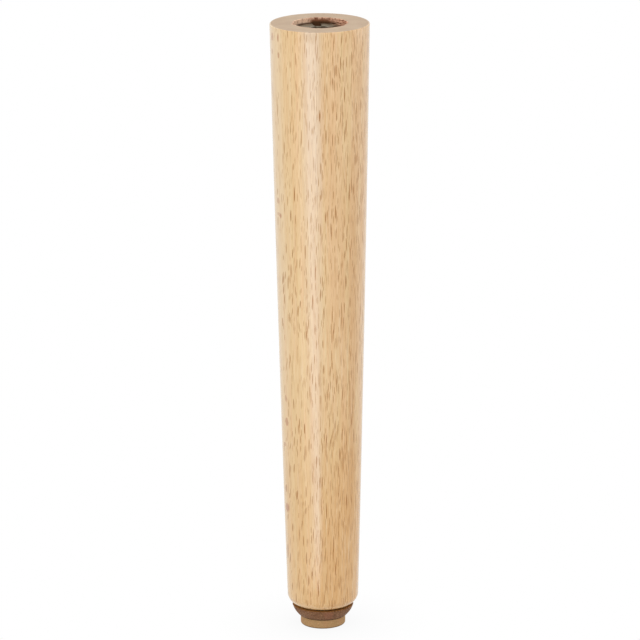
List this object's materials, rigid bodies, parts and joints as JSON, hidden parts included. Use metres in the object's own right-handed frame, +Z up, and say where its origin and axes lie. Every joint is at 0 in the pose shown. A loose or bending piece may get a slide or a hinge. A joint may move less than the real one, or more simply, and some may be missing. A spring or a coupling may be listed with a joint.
{
  "type": "furniture leg",
  "caption": "Tapered round wooden furniture leg with a threaded tee nut in its top end for a mounting bolt and a screw-in levelling foot with a glide disc.",
  "frame": {"origin": "on the floor, under the middle of the foot", "axes": "+Z up along the leg's axis; +Y away from the picture's camera; +X to the picture's right"},
  "size_m": [0.048, 0.048, 0.302],
  "materials": {
    "beech": "satin clear lacquer",
    "zinc_steel": "zinc plated",
    "brown_plastic": "moulded, faintly mottled",
    "tan_plastic": "moulded, matte"
  },
  "bodies": {
    "leg": {"leg_shaft": "beech", "mounting_tee_nut": "zinc_steel", "foot_bush": "zinc_steel"},
    "glide": {"glide_disc": "tan_plastic"},
    "adjuster": {"adjuster_collar": "brown_plastic", "levelling_stem": "zinc_steel"}
  },
  "joints": [
    {"name": "foot_travel", "type": "slide", "parent": "leg", "child": "glide", "axis": [0, 0, -1], "range_m": [0, 0.01]},
    {"name": "foot_turn", "type": "hinge", "parent": "glide", "child": "adjuster", "pos_m": [0, 0, 0], "axis": [0, 0, -1], "range_deg": [0, 2880]}
  ],
  "couplings": [
    {"joint": "foot_travel", "follows": "foot_turn", "m_per_rad": 0.00019894}
  ]
}
